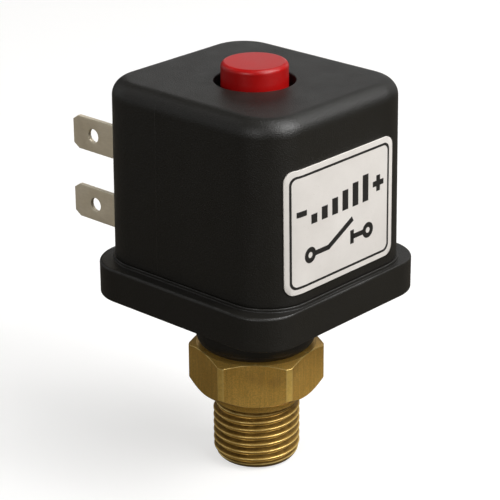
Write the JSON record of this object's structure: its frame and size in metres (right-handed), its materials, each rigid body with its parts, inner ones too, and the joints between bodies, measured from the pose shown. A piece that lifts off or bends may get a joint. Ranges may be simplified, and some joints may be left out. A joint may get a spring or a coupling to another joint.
{
  "type": "pressure switch",
  "caption": "Diaphragm pressure switch: threaded brass hex fitting, moulded flange and square cover, push-on blade terminals, push button on top, working contact gear inside.",
  "frame": {"origin": "centre of the threaded stem's end face, on the thread axis", "axes": "+Z along the thread axis from the stem end to the push button, -Y out of the labelled side, +Y the side the blade terminals leave"},
  "size_m": [0.0436, 0.056, 0.0762],
  "materials": {
    "fitting_brass": "satin machined",
    "seal_rubber": "matte",
    "housing_black": "fine moulded grain",
    "pad_aluminium": "turned",
    "rod_plastic": "natural",
    "spring_steel": "drawn wire",
    "ring_brass": "turned",
    "block_brown": "compression moulded",
    "screw_steel": "zinc plated",
    "terminal_tin": "tin plated",
    "contact_silver": "satin",
    "arm_copper": "rolled strip",
    "bracket_steel": "pressed",
    "wire_red": "extruded",
    "button_red": "satin",
    "stem_plastic": "natural",
    "label_white": "printed film"
  },
  "bodies": {
    "housing": {"brass_fitting": "fitting_brass", "neck_seal": "seal_rubber", "base_flange": "housing_black", "diaphragm": "seal_rubber", "range_spring": "spring_steel", "terminal_block": "block_brown", "terminal_block_screw_1": "screw_steel", "terminal_block_screw_2": "screw_steel", "terminal_blade_upper": "terminal_tin", "terminal_blade_lower": "terminal_tin", "fixed_contact": "contact_silver", "contact_spring": "spring_steel", "pivot_bracket": "bracket_steel", "pivot_pin": "spring_steel", "bracket_screw": "screw_steel", "link_wire": "wire_red", "cover": "housing_black", "cover_gasket": "seal_rubber", "cover_screw_1": "screw_steel", "cover_screw_2": "screw_steel", "cover_screw_3": "screw_steel", "cover_screw_4": "screw_steel", "button_guide": "housing_black", "button_spring": "spring_steel", "label_plate": "label_white"},
    "push_rod": {"piston_pad": "pad_aluminium", "push_rod": "rod_plastic"},
    "contact_lever": {"contact_arm": "arm_copper", "moving_contact": "contact_silver"},
    "range_seat": {"range_seat": "spring_steel"},
    "adjuster": {"adjusting_ring": "ring_brass"},
    "button": {"button_cap": "button_red", "button_stem": "stem_plastic", "button_clip": "spring_steel"}
  },
  "joints": [
    {"name": "button_press", "type": "slide", "parent": "housing", "child": "button", "axis": [0, 0, 1], "range_m": [-0.0024, 0], "stiffness_N_per_m": 300, "deforming": ["button_spring"]},
    {"name": "push_rod_slide", "type": "slide", "parent": "housing", "child": "push_rod", "axis": [0, 0, 1], "range_m": [0, 0.001], "stiffness_N_per_m": 500, "deforming": ["range_spring"]},
    {"name": "contact_lever_swing", "type": "hinge", "parent": "housing", "child": "contact_lever", "pos_m": [0.0109, 0, 0.05], "axis": [0, 1, 0], "range_deg": [0, 5.5], "deforming": ["contact_spring"]},
    {"name": "range_seat_slide", "type": "slide", "parent": "housing", "child": "range_seat", "axis": [0, 0, 1], "range_m": [-0.001, 0.001]},
    {"name": "adjusting_ring_turn", "type": "hinge", "parent": "range_seat", "child": "adjuster", "pos_m": [0, 0, 0.044], "axis": [0, 0, 1], "range_deg": [-360, 360]}
  ],
  "couplings": [
    {"joint": "contact_lever_swing", "follows": "push_rod_slide", "rad_per_m": 93.5},
    {"joint": "adjusting_ring_turn", "follows": "range_seat_slide", "rad_per_m": 6283}
  ]
}
